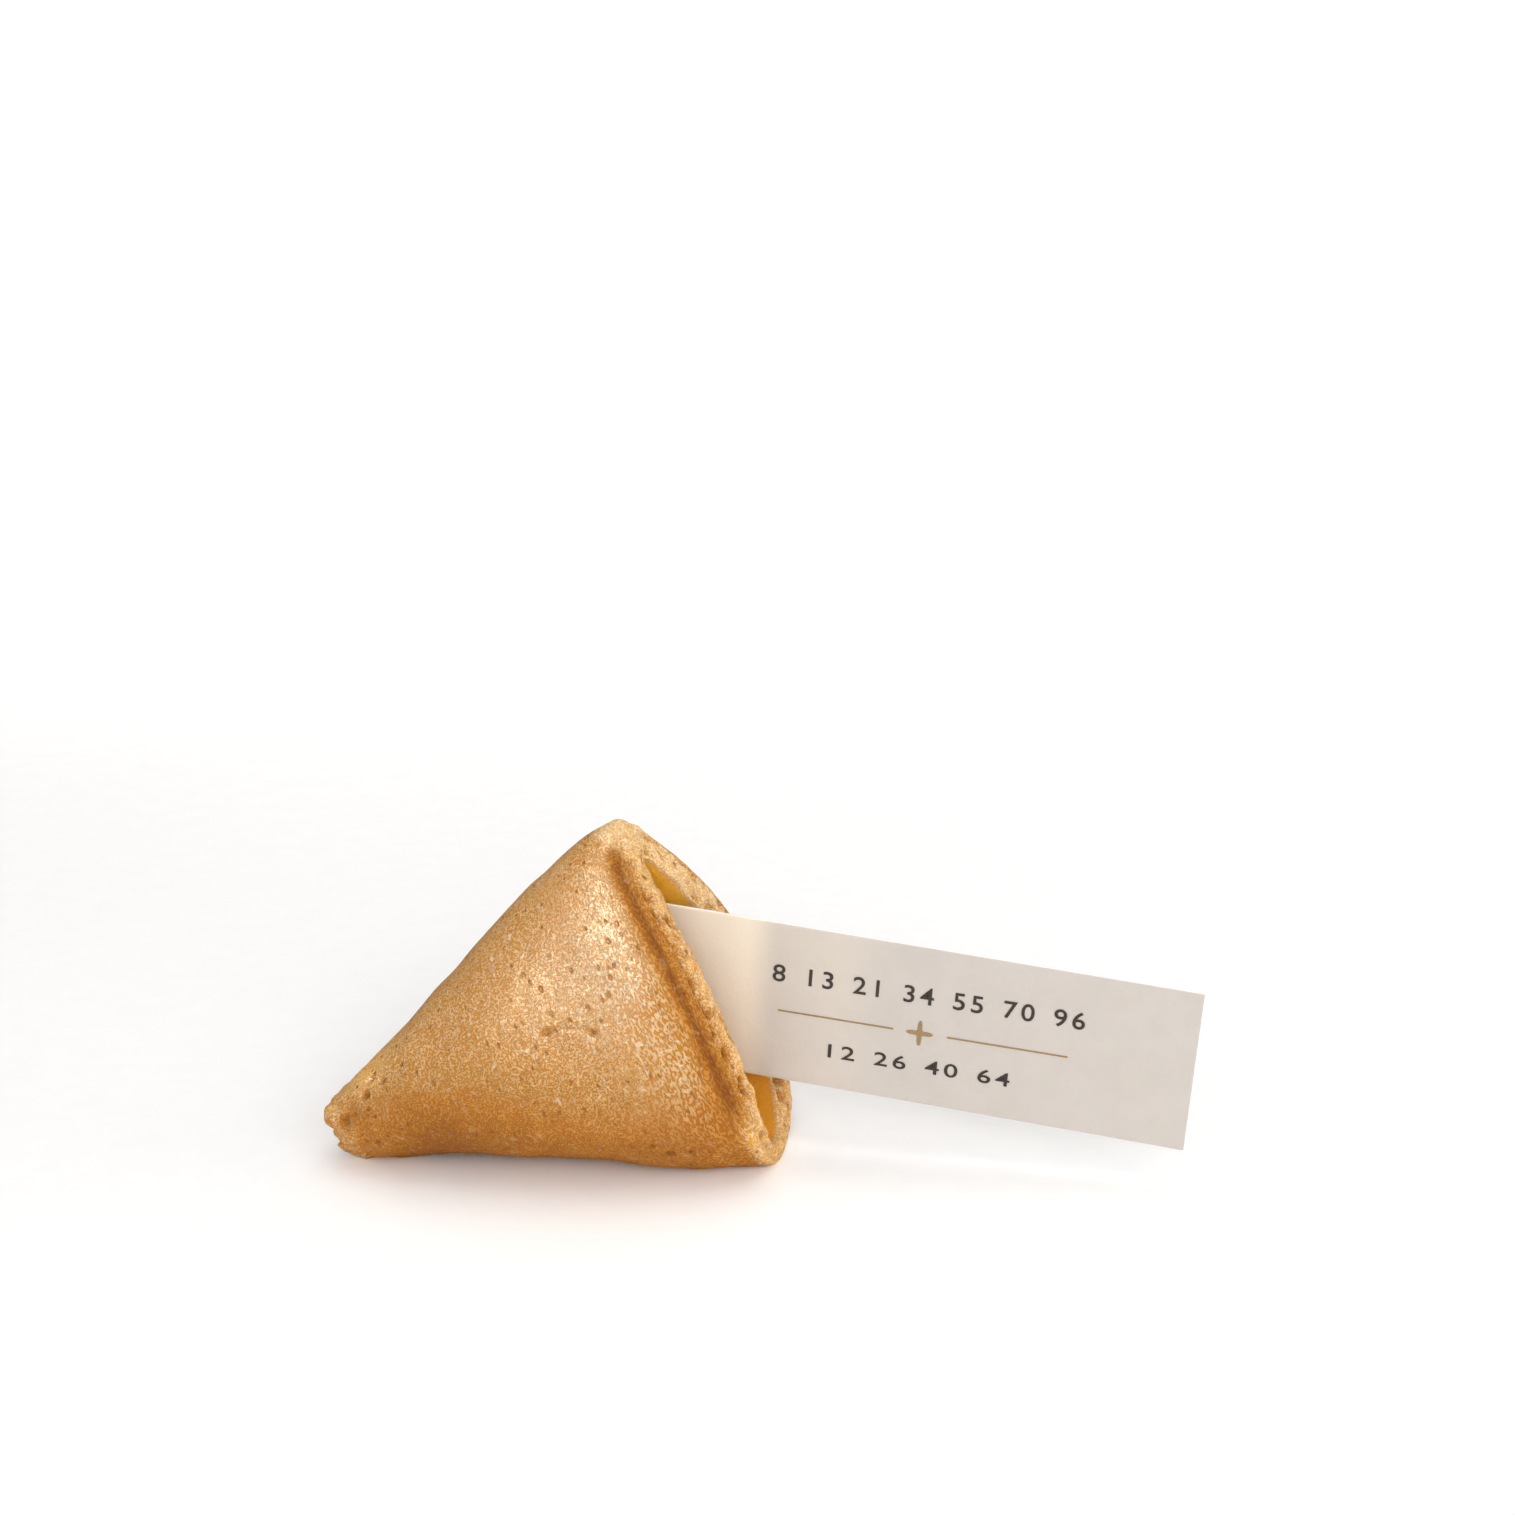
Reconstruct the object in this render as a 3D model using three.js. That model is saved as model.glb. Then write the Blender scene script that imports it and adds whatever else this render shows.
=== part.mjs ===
// Half of a fortune cookie, snapped off at the middle, with its paper fortune tucked in the hollow.
//
// Units are millimetres and +Z is up. The origin is the middle of the whole part's footprint, on the
// surface that it lies on. The open mouth faces +X, the pinched tip points to -X.
//
// A fortune cookie is a thin round wafer, folded over and bent. Half of it is a flattened horn: a fold
// ridge runs down its back, the wafer's rims meet in a seam underneath, and the mouth is where it broke.
// The horn is described by sections at u = 0 (mouth) to u = 1 (tip). Each section is a teardrop that is
// traced by an angle: 0 at the seam, pi at the ridge, the near side between them and the far side after.

import * as THREE from 'three';

// ---- Horn: each list is a cubic curve's four control values, from the mouth to the tip ----

const RIDGE = { x: [-13.0, -22.1, -29.0, -39.6], y: [1.7, 2.2, 0.5, -2.2], z: [32.0, 26.1, 14.3, 5.9] };
const SEAM = { x: [2.6, -11.1, -21.8, -38.0], y: [-0.8, -1.2, -0.2, -0.7], z: [-0.4, -1.1, 3.0, -0.8] };
const HALF_WIDTH = [8.0, 10.7, 9.2, 2.6];
const LOW_FULLNESS = [0.25, 0.19, 0, 0]; // how much wider a section is near the seam than at the ridge
const BOW = [2.7, 1.0, 0.5, 1.2]; // how far a section's middle leans towards the mouth
const SLANT = [0.23, 0.16, 0.06, 0.18]; // the far side lies this much further to the mouth's side

// ---- Wafer thickness and hollow ----

const WALL_SIDE = 2.4;
const WALL_SEAM = 2.1;
const WALL_RIDGE = 2.4;
const WALL_RIDGE_AT_MOUTH = 4.0; // the two leaves are baked together just under the fold
const HOLLOW_END = 0.86; // how far the hollow reaches, as a share of the horn
const HOLLOW_END_HEIGHT = 0.35; // of the section's height, where the leaves close on each other
const MOUTH_BLEND = 0.3; // share of the horn in which the mouth's shape fades into the hollow's
const MOUTH_NARROWING = 0.26; // extra fullness low down in the mouth, which narrows it at the top
const RIM_BLEND = 0.25;
const RIM_AT_APEX = 1.1; // how far the mouth's inner edge is shifted along +X
const RIM_NEAR_SIDE = [1.5, -0.2];
const RIM_FAR_SIDE = [-4.3, 0.4];

// ---- Pinched tip: how much it is rounded off ----

const TIP_START = 0.92;
const TIP_ROUND = { side: 1.0, ridge: 1.1, seam: 2.0 };
const TIP_LINE_HEIGHT = 0.75; // length of the line where the leaves meet on the end face
const TIP_BULGE = 0.5;
const TIP_DIRECTION = new THREE.Vector3(-0.93, -0.15, -0.33); // the way the horn points there
const SCALLOP = { depth: 1.0, length: 2.2, phase: 2.35, from: 0.94 }; // bites in the wafer's rims there
const SCALLOP_MIDDLE = 0.4; // share of their depth at which the lobes keep the outline

// ---- Relief in the surface: depths, and the distances from the mouth's edge where they lie ----

const RUN_AT_SEAM = 38; // length of the horn along its seam
const RUN_AT_RIDGE = 29; // and along its ridge, near the mouth
const LIP_BEAD = { height: 0.12, at: 0.3, width: 0.6 };
const LIP_GROOVE = { height: -0.7, at: 1.3, width: 0.6 };
const LIP_SHOULDER = { height: 0.1, at: 2.9, width: 1.1 };
const SEAM_GROOVE = { height: -0.9, at: 0, width: 0.55 };
const SEAM_BEAD = { height: 0.25, at: 1.35, width: 0.6 };
const RIM_SWELL = 0.38;
const BROAD_WAVES = { height: 0.22, size: 13 };
const SMALL_WAVES = { height: 0.07, size: 5 };
const TIP_CRUMBS = { height: 0.28, size: 3.2 };
const RIM_CRUMBS = { height: 0.14, size: 1.8 };
const HOLLOW_WAVES = { height: 0.15, size: 7 };
const SMALL_WAVES_OFFSET = 7; // keeps the two sizes of waves from rising together

// ---- Mesh of the horn ----

const COLUMNS = 72;
const HALF_COLUMNS = COLUMNS / 2;
const TIP_ROWS = 5;
const OUTSIDE_ROWS = 44;
const RIM_ROWS = 4;
const HOLLOW_ROWS = 16;

// ---- Paper fortune: a strip of card that stands on its long edge, leaning in the mouth ----

const SLIP = { length: 51.5, height: 15.4, thickness: 0.3 };
const SLIP_CORNER = new THREE.Vector3(37.9, -6.4, 3.3); // near lower corner of its free end
const SLIP_TURN = 11; // degrees: its free end comes forward
const SLIP_SLOPE = 5.4; // its free end hangs lower
const SLIP_LEAN = 2; // its top edge leans back

const CRUST = new THREE.MeshStandardMaterial({ color: 0xd69d5c, roughness: 0.6, metalness: 0 });
const CARD = new THREE.MeshStandardMaterial({ color: 0xddd6cd, roughness: 0.85, metalness: 0 });

function cubic(t, [a, b, c, d]) {
  const m = 1 - t;
  return a * m ** 3 + 3 * b * m * m * t + 3 * c * m * t * t + d * t ** 3;
}

function cubicPoint(t, curve) {
  return new THREE.Vector3(cubic(t, curve.x), cubic(t, curve.y), cubic(t, curve.z));
}

// A bell-shaped bump or groove across the distance d.
function bump(d, { height, at, width }) {
  return height * Math.exp(-(((d - at) / width) ** 2));
}

// Smooth uneven waves in space, with a length of about half the size.
function waves(p, { height, size }, offset = 0) {
  const x = (p.x + offset) / size;
  const y = (p.y + offset) / size;
  const z = (p.z + offset) / size;
  const long = Math.sin(4.1 * x + 1.7 * y + 0.4) * Math.cos(3.7 * z - 1.1 * x + 1.9);
  const short = Math.sin(6.3 * y - 2.9 * z + 2.2) * Math.cos(5.3 * x + 3.1 * z);
  return (height * (long + 0.6 * short)) / 1.4;
}

// How far the end of the tip stands out in round lobes. They fade at its foot. span is the way up.
function scallop(u, span) {
  const lobes = Math.abs(Math.sin((Math.PI * span) / SCALLOP.length + SCALLOP.phase));
  const share = THREE.MathUtils.smoothstep(u, SCALLOP.from, 1) * THREE.MathUtils.smoothstep(span, 0, 4);
  return SCALLOP.depth * (lobes - SCALLOP_MIDDLE) * share;
}

// A point of the section at u. The section is drawn in from its outline by the wall: by side, by ridge
// and by seam. Its width and height are scaled, and a flatter section has its points evenly up its
// height. lateral is the distance from the section's middle line.
function sectionPoint(u, angle, { side = 0, ridge = 0, seam = 0, fuller = 0, width = 1, height = 1 }) {
  const foot = cubicPoint(u, SEAM);
  const crest = cubicPoint(u, RIDGE);
  const up = crest.clone().sub(foot);
  const tall = up.length();
  up.normalize();
  foot.addScaledVector(up, seam);
  crest.addScaledVector(up, -ridge);
  const round = -0.5 * Math.cos(angle);
  const even = Math.min(angle, 2 * Math.PI - angle) / Math.PI - 0.5;
  const rise = 0.5 + height * (width * round + (1 - width) * even);
  const teardrop = Math.sin(angle) * (1 + (cubic(u, LOW_FULLNESS) + fuller) * Math.cos(angle));
  const lateral = -(cubic(u, HALF_WIDTH) - side) * teardrop * width;
  const point = foot.lerp(crest, rise);
  point.x += cubic(u, BOW) * 4 * rise * (1 - rise) + lateral * cubic(u, SLANT);
  point.y += lateral;
  point.addScaledVector(TIP_DIRECTION, scallop(u, rise * tall));
  return { point, lateral };
}

// The end face: the section at the tip, closed towards the line where its two leaves meet (v = 1).
function tipPoint(v, angle) {
  return sectionPoint(1, angle, { ...TIP_ROUND, width: 1 - v, height: 1 - (1 - TIP_LINE_HEIGHT) * v });
}

function outsidePoint(u, angle) {
  const t = THREE.MathUtils.clamp((u - TIP_START) / (1 - TIP_START), 0, 1);
  const round = 1 - Math.sqrt(1 - 0.999 * t * t);
  const cut = { side: TIP_ROUND.side * round, ridge: TIP_ROUND.ridge * round, seam: TIP_ROUND.seam * round };
  return sectionPoint(u, angle, cut);
}

function hollowPoint(u, angle) {
  const width = Math.sqrt(Math.max(1 - (u / HOLLOW_END) ** 6, 0));
  const depth = Math.min(u / MOUTH_BLEND, 1);
  const made = sectionPoint(u, angle, {
    side: WALL_SIDE,
    ridge: THREE.MathUtils.lerp(WALL_RIDGE_AT_MOUTH, WALL_RIDGE, depth),
    seam: WALL_SEAM,
    fuller: MOUTH_NARROWING * (1 - depth),
    width,
    height: u > 0 ? THREE.MathUtils.lerp(HOLLOW_END_HEIGHT, 1, width) : 1,
  });
  const [low, high] = angle < Math.PI ? RIM_NEAR_SIDE : RIM_FAR_SIDE;
  const shift = cubic(0.5 - 0.5 * Math.cos(angle), [0, low, high, RIM_AT_APEX]);
  made.point.x += shift * Math.max(1 - u / RIM_BLEND, 0) ** 2;
  return made;
}

function rimPoint(v, angle) {
  const outer = outsidePoint(0, angle);
  const inner = hollowPoint(0, angle);
  return { point: outer.point.lerp(inner.point, v), lateral: inner.lateral };
}

// How far the lip by the mouth stands out: a bead at the broken edge, then a groove, then a shoulder.
function lipRelief(u, angle) {
  const rise = 0.5 - 0.5 * Math.cos(angle);
  const d = u * THREE.MathUtils.lerp(RUN_AT_SEAM, RUN_AT_RIDGE, rise);
  return (bump(d, LIP_BEAD) + bump(d, LIP_GROOVE) + bump(d, LIP_SHOULDER)) * lipShare(angle);
}

// The lip fades at the mouth's foot and is weaker right on the ridge.
function lipShare(angle) {
  const up = Math.cos(angle);
  const foot = 1 - THREE.MathUtils.smoothstep(up, 0.6, 0.97);
  return foot * (0.35 + 0.65 * THREE.MathUtils.smoothstep(up, -1, -0.8));
}

// The seam underneath: closed and smooth by the mouth, a groove between two beads towards the tip.
function seamRelief(u, angle, lateral) {
  const along = THREE.MathUtils.smoothstep(u, 0.12, 0.45);
  const under = THREE.MathUtils.smoothstep(Math.cos(angle), 0, 0.5);
  return along * under * (bump(lateral, SEAM_GROOVE) + bump(Math.abs(lateral), SEAM_BEAD));
}

function wavesRelief(p) {
  return waves(p, BROAD_WAVES) + waves(p, SMALL_WAVES, SMALL_WAVES_OFFSET);
}

const tipRelief = (p, v, lateral) =>
  wavesRelief(p) + waves(p, TIP_CRUMBS) + TIP_BULGE * Math.sin(Math.PI * v) + bump(lateral, SEAM_GROOVE);

const outsideRelief = (p, u, angle, lateral) =>
  wavesRelief(p) +
  waves(p, TIP_CRUMBS) * THREE.MathUtils.smoothstep(u, 0.85, 1) +
  lipRelief(u, angle) +
  seamRelief(u, angle, lateral);

const rimRelief = (p, v, angle) =>
  RIM_SWELL * 4 * v * (1 - v) +
  waves(p, RIM_CRUMBS) +
  (1 - v) * (wavesRelief(p) + bump(LIP_BEAD.at, LIP_BEAD) * lipShare(angle));

const hollowRelief = (p, u) => waves(p, HOLLOW_WAVES) * THREE.MathUtils.smoothstep(u, 0, 0.1);

// The rings of points that the shell is made of, from the closed line on the tip's end face, over the
// outside, the rim and the hollow, to the closed line at the hollow's end.
function shellRings() {
  const rings = [];
  for (let k = 0; k < TIP_ROWS; k += 1) {
    const v = 1 - k / TIP_ROWS;
    rings.push({ at: (angle) => tipPoint(v, angle), relief: (p, angle, lateral) => tipRelief(p, v, lateral) });
  }
  for (let k = OUTSIDE_ROWS - 1; k >= 0; k -= 1) {
    const t = k / (OUTSIDE_ROWS - 1);
    const u = 0.25 * t + 0.75 * t * t; // rings lie closer together by the mouth
    const relief = (p, angle, lateral) => outsideRelief(p, u, angle, lateral);
    rings.push({ at: (angle) => outsidePoint(u, angle), relief });
  }
  for (let k = 1; k <= RIM_ROWS; k += 1) {
    const v = k / (RIM_ROWS + 1);
    rings.push({ at: (angle) => rimPoint(v, angle), relief: (p, angle) => rimRelief(p, v, angle) });
  }
  for (let k = 0; k < HOLLOW_ROWS; k += 1) {
    const u = (HOLLOW_END * k) / (HOLLOW_ROWS - 1);
    rings.push({ at: (angle) => hollowPoint(u, angle), relief: (p) => hollowRelief(p, u) });
  }
  return rings;
}

// Vertex numbers of every ring. The first and last rings are lines: their two sides share vertices.
function ringNumbers(ringCount) {
  let next = 0;
  return Array.from({ length: ringCount }, (_, r) => {
    const closed = r === 0 || r === ringCount - 1;
    const count = closed ? HALF_COLUMNS + 1 : COLUMNS;
    const first = next;
    next += count;
    return Array.from({ length: COLUMNS }, (_, c) => first + (closed && c > HALF_COLUMNS ? COLUMNS - c : c));
  });
}

function shellFaces(numbers) {
  const faces = [];
  const addFace = (a, b, c) => {
    if (a !== b && b !== c && a !== c) faces.push(a, b, c);
  };
  for (let r = 0; r + 1 < numbers.length; r += 1) {
    for (let c = 0; c < COLUMNS; c += 1) {
      const beside = (c + 1) % COLUMNS;
      addFace(numbers[r][c], numbers[r + 1][c], numbers[r + 1][beside]);
      addFace(numbers[r][c], numbers[r + 1][beside], numbers[r][beside]);
    }
  }
  return faces;
}

// The closed shell: smooth rings first, then every point is moved along its normal by the relief.
function shellGeometry() {
  const rings = shellRings();
  const numbers = ringNumbers(rings.length);
  const placed = [];
  rings.forEach((ring, r) => {
    for (let c = 0; c < COLUMNS; c += 1) {
      const angle = (2 * Math.PI * c) / COLUMNS;
      placed[numbers[r][c]] ??= { angle, relief: ring.relief, ...ring.at(angle) };
    }
  });
  const geometry = new THREE.BufferGeometry().setFromPoints(placed.map(({ point }) => point));
  geometry.setIndex(shellFaces(numbers));
  geometry.computeVertexNormals();
  const normal = new THREE.Vector3();
  const raised = placed.map(({ point, angle, lateral, relief }, i) => {
    normal.fromBufferAttribute(geometry.attributes.normal, i);
    const moved = point.clone().addScaledVector(normal, relief(point, angle, lateral));
    moved.z = Math.max(moved.z, 0); // flattened where it rests
    return moved;
  });
  geometry.setFromPoints(raised);
  geometry.computeVertexNormals();
  return geometry;
}

function makeCookie() {
  const cookie = new THREE.Mesh(shellGeometry(), CRUST);
  cookie.name = 'cookie';
  return cookie;
}

function makeSlip() {
  const { length, height, thickness } = SLIP;
  const strip = new THREE.BoxGeometry(length, thickness, height).translate(-length / 2, thickness / 2, height / 2);
  const slip = new THREE.Mesh(strip, CARD);
  slip.name = 'slip';
  slip.position.copy(SLIP_CORNER);
  const { degToRad } = THREE.MathUtils;
  slip.rotation.set(-degToRad(SLIP_LEAN), degToRad(SLIP_SLOPE), -degToRad(SLIP_TURN), 'ZYX');
  return slip;
}

const part = new THREE.Group();
part.add(makeCookie(), makeSlip());

export default part;
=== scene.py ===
"""Half of a fortune cookie, snapped off at the middle, with its paper fortune standing in the hollow.

All shapes are worked out in millimetres in the model's own frame: +X towards the open mouth, +Z up,
the printed side of the slip towards -Y. They are turned into metres when a mesh is made.

The cookie is a flattened horn. Its sections run from u = 0 (mouth) to u = 1 (tip), and each section is
traced by an angle: 0 at the seam underneath, pi at the fold ridge, the near side between them.
"""

import bpy
import itertools
import math
import numpy as np
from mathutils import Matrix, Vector


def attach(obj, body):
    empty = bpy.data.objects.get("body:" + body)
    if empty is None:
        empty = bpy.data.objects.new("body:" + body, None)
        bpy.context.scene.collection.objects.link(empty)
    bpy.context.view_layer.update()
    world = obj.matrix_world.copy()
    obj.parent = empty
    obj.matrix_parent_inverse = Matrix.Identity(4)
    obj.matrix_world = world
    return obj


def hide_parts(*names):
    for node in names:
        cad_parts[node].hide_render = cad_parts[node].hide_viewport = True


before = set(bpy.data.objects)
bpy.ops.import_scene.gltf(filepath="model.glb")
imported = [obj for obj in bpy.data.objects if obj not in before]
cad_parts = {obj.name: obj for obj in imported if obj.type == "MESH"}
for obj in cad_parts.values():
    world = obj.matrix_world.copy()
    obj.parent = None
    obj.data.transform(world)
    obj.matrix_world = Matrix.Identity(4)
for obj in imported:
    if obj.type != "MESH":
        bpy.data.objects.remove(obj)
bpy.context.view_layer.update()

MM = 0.001

# ---- Horn: each list is a cubic curve's four control values, from the mouth to the tip ----

RIDGE = ([-13.0, -22.1, -29.0, -39.6], [1.7, 2.2, 0.5, -2.2], [32.0, 26.1, 14.3, 5.9])
SEAM = ([2.6, -11.1, -21.8, -38.0], [-0.8, -1.2, -0.2, -0.7], [-0.4, -1.1, 3.0, -0.8])
HALF_WIDTH = [8.0, 10.7, 9.2, 2.6]
LOW_FULLNESS = [0.25, 0.19, 0, 0]
BOW = [2.7, 1.0, 0.5, 1.2]
SLANT = [0.23, 0.16, 0.06, 0.18]

WALL_SIDE = 2.4
WALL_SEAM = 2.1
WALL_RIDGE = 2.4
WALL_RIDGE_AT_MOUTH = 4.0
HOLLOW_END = 0.86  # u where the hollow closes to a line
HOLLOW_END_HEIGHT = 0.35  # share of the section's height that the line has
MOUTH_BLEND = 0.3  # u up to which the ridge wall is thicker and the hollow narrower below
MOUTH_NARROWING = 0.26
RIM_BLEND = 0.25  # u up to which the wall's inner edge is drawn forward or back
RIM_AT_APEX = 1.1  # how far, at the apex, and the middle control values up each side
RIM_NEAR_SIDE = [1.5, -0.2]
RIM_FAR_SIDE = [-4.3, 0.4]

TIP_START = 0.92
TIP_ROUND = {"side": 1.0, "ridge": 1.1, "seam": 2.0}
TIP_LINE_HEIGHT = 0.75
TIP_BULGE = 0.5
TIP_DIRECTION = np.array([-0.93, -0.15, -0.33])
TIP_NECK = (-0.22, 1.9, 0.6)  # a shallow ring behind the tip: height, place and width
SCALLOP_DEPTH = 1.0
SCALLOP_LENGTH = 2.2
SCALLOP_PHASE = 2.35
SCALLOP_FROM = 0.94
SCALLOP_MIDDLE = 0.4
TIP_RUN = 29  # (1 - u) times this measures how far a point is from the tip

LIP_RADIUS_NEAR = 0.8  # quarter round of the broken edge on each side and at the apex
LIP_RADIUS_FAR = 0.4
LIP_RADIUS_APEX = 0.7
LIP_BEAD = (0.1, -0.4, 0.6)  # height, place and width of each bump across the lip
LIP_GROOVE = (-0.27, 0.95, 0.58)
LIP_HOLLOW = (-0.3, 1.1, 1.7)
LIP_CREASE = (-0.2, -1.05, 0.17)
GROOVE_SHIFT = 0.15  # the groove runs closer to the edge near the top
EDGE_SETBACK = 13  # rows behind the broken edge that give its forward direction
SEAM_GROOVE = (-0.9, 0, 0.55)
SEAM_BEAD = (0.25, 1.35, 0.6)
RIM_SWELL = 0.45
FLARE_FAR = ((0.95, 0.69, 0.16), (0.45, 1.0, 0.08))  # how far the broken edge stands forward, by rise
FLARE_NEAR = (0.45, 1.0, 0.05)
FLARE_UP = (0.3, 1.0, 0.06)  # and how far up
FLARE_END = 0.22  # u where the flares have died out

# Larger dents that show on the near side: place of the middle, radius and depth
DENTS = np.array([
    [-12.8, -6.0, 21.4, 0.42, 0.22],
    [-14.4, -8.0, 15.9, 0.36, 0.26],
    [-18.5, -7.7, 15.7, 0.42, 0.22],
    [-16.4, -9.0, 11.5, 0.34, 0.24],
    [-14.2, 0.0, 30.5, 0.30, 0.25],
    [-6.4, -6.8, 19.1, 0.28, 0.28],
    [-9.4, -8.4, 4.8, 0.30, 0.25],
    [-7.8, -7.9, 3.8, 0.50, 0.30],
    [-6.0, -7.8, 3.9, 0.30, 0.28],
    [0.2, -6.8, 3.7, 0.34, 0.34],
    [-22.1, -2.5, 22.2, 0.30, 0.24],
    [-20.7, -4.9, 20.1, 0.28, 0.22],
    [-35.4, -4.4, 7.9, 0.60, 0.50],
    [-35.0, -3.7, 9.1, 0.52, 0.42],
    [-33.8, -4.5, 9.4, 0.50, 0.36],
    [-35.1, -5.1, 6.7, 0.24, 0.30],
    [-34.5, -5.5, 6.2, 0.22, 0.26],
    [-37.4, -4.4, 5.0, 0.95, 0.32],
    [-34.4, -5.2, 3.3, 0.40, 0.25],
])
WRINKLE_MIDDLE = (-16.3, 12.3)  # a fine curved crease on the near side, in x and z
WRINKLE_RADIUS = 4.0
WRINKLE_FROM = (15.0, 15.8)  # it shows above this height
WRINKLE_DEPTH = 0.09

COLUMNS = 320
TIP_ROWS = 14
OUTSIDE_ROWS = 196
RIM_ROWS = 26
HOLLOW_ROWS = 66

# ---- Browning of each zone before its own lighter and darker places, which add painted shade and painted highlights, from 0 (pale) to 1 (dark) ----

TIP_BROWN = 0.33
OUTSIDE_BROWN = 0.31
RIM_BROWN = 0.19
APEX_HIGHLIGHT_HEIGHTS = (30.0, 31.2)  # heights over which the crust near the apex takes the pale crumb colour, as painted highlight
# Paler patches on the near side are a painted highlight.
HIGHLIGHT_PATCHES = ((0.85, -13, 21, 26), (0.3, -7, 13, 30))  # strength, x, z and squared width

# ---- Slip ----

SLIP_LENGTH = 51.5
SLIP_HEIGHT = 15.4
SLIP_THICKNESS = 0.3
SLIP_CORNER = np.array([37.9, -6.4, 3.3])
SLIP_TURN = math.radians(11)
SLIP_SLOPE = math.radians(5.4)
SLIP_LEAN = math.radians(2)
SLIP_SKEW = 0.039  # the cut ends are a little out of square
SLIP_CHAMFER = 0.05
SLIP_SWELL = 0.02  # how far the faces rise and fall
SLIP_STEPS = (180, 56)
PRINT_TILT = 0.011  # the print rises a little towards the free end
PRINT_MIDDLE = 24
PRINT_HEIGHT = 0.03  # how far the print stands out of the paper
PRINT_SUNK = 0.01
RULE_POINTS = 24
STAR_POINTS = 48

# ---- Colours: each tone table gives the colour at some values of the browning ----

GROUND_TONES = [
    (0.0, (0.72, 0.35, 0.05)),
    (0.2, (0.585, 0.27, 0.035)),
    (0.4, (0.515, 0.195, 0.010)),
    (0.55, (0.43, 0.155, 0.006)),
    (0.7, (0.38, 0.11, 0.004)),
    (0.85, (0.29, 0.082, 0.002)),
    (1.0, (0.225, 0.052, 0.0)),
]
# Colours of the ridges of the grain: lighter than the ground tones, as painted glints where the ridges
# catch light.
RAISED_TONES = [
    (0.0, (0.92, 0.54, 0.22)),
    (0.2, (0.77, 0.475, 0.22)),
    (0.4, (0.705, 0.405, 0.18)),
    (0.55, (0.58, 0.313, 0.096)),
    (0.7, (0.505, 0.213, 0.026)),
    (0.85, (0.39, 0.148, 0.009)),
    (1.0, (0.30, 0.09, 0.002)),
]
# Colours of the lining: brighter and more golden than the crust, as painted glow of light through the
# thin wall and bounce inside the hollow.
LINING_GLOW_TONES = [
    (0.0, (1.0, 0.51, 0.045)),
    (0.4, (0.93, 0.40, 0.040)),
    (1.0, (0.58, 0.22, 0.014)),
]
# crumb colours of the ground and of the ridges, which are lighter as painted glints
CRUMB_GROUND = (0.73, 0.42, 0.15, 1)
CRUMB_RAISED = (0.93, 0.68, 0.40, 1)
# paler ridges inside the painted highlight patches
HIGHLIGHT_RAISED = (0.70, 0.54, 0.36, 1)
# painted glint colour of the longer strokes
STROKE_GLINT = (0.92, 0.73, 0.50, 1)
# painted shade in the pinholes
PINHOLE_SHADE = (0.30, 0.09, 0.002, 1)
CARD = ((0.523, 0.475, 0.431, 1), (0.546, 0.497, 0.453, 1))
CARD_FIBRE = (0.47, 0.42, 0.373, 1)
# painted bounce light: the warmer, lighter card where the slip stands in the cookie
CARD_BOUNCE_LIGHT = (0.88, 0.77, 0.61, 1)
CARD_CUT = (0.93, 0.91, 0.88, 1)
DARK_INK = ((0.022, 0.010, 0.003, 1), (0.050, 0.026, 0.010, 1))
BRONZE_INK = ((0.27, 0.16, 0.055, 1), (0.36, 0.24, 0.10, 1))
FLOOR = ((0.95, 0.945, 0.937, 1), (0.97, 0.965, 0.957, 1))


# ======================================================================== plain functions of numbers


def cubic(t, controls):
    """Bernstein cubic: a(1-t)^3 + 3b(1-t)^2 t + 3c(1-t)t^2 + dt^3."""
    a, b, c, d = controls
    m = 1 - t
    return a * m**3 + 3 * b * m * m * t + 3 * c * m * t * t + d * t**3


def bump(distance, shape):
    """Bell curve: height * exp(-((distance - place) / width)^2)."""
    height, place, width = shape
    return height * np.exp(-(((distance - place) / width) ** 2))


def smooth(low, high, value):
    """0 at low, 1 at high, and 3t^2 - 2t^3 between them. With low above high it falls."""
    t = np.clip((value - low) / (high - low), 0, 1)
    return t * t * (3 - 2 * t)


def waves(points, height, size, offset=0.0):
    """Products of sines of the three coordinates: smooth uneven swells about half the size long."""
    x, y, z = np.moveaxis((points + offset) / size, -1, 0)
    long = np.sin(4.1 * x + 1.7 * y + 0.4) * np.cos(3.7 * z - 1.1 * x + 1.9)
    short = np.sin(6.3 * y - 2.9 * z + 2.2) * np.cos(5.3 * x + 3.1 * z)
    return height * (long + 0.6 * short) / 1.4


LATTICE = 32


def noise(points, size, seed):
    """Gradient noise, about -1 to 1: a random slope at each corner of a cube lattice of that size, and
    the eight slopes' heights at a point blended by 6t^5 - 15t^4 + 10t^3."""
    slopes = np.random.default_rng(seed).normal(size=(LATTICE, LATTICE, LATTICE, 3))
    slopes /= np.linalg.norm(slopes, axis=-1, keepdims=True)
    q = points / size
    cell = np.floor(q).astype(int)
    inside = q - cell
    fade = inside**3 * (inside * (inside * 6 - 15) + 10)
    total = np.zeros(points.shape[:-1])
    for corner in itertools.product((0, 1), repeat=3):
        at = (cell + corner) % LATTICE
        slope = slopes[at[..., 0], at[..., 1], at[..., 2]]
        share = np.prod(np.where(corner, fade, 1 - fade), axis=-1)
        total += share * (slope * (inside - corner)).sum(axis=-1)
    return total * 1.6


def creases(points, size, seed):
    """1 - |noise| of points that are shifted by noise: a net of narrow winding ridges, 0 to 1."""
    shift = np.stack([noise(points, size * 1.3, seed + k) for k in (1, 2, 3)], axis=-1)
    return 1 - np.minimum(np.abs(noise(points + 0.6 * size * shift, size, seed)) * 1.6, 1)


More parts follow.
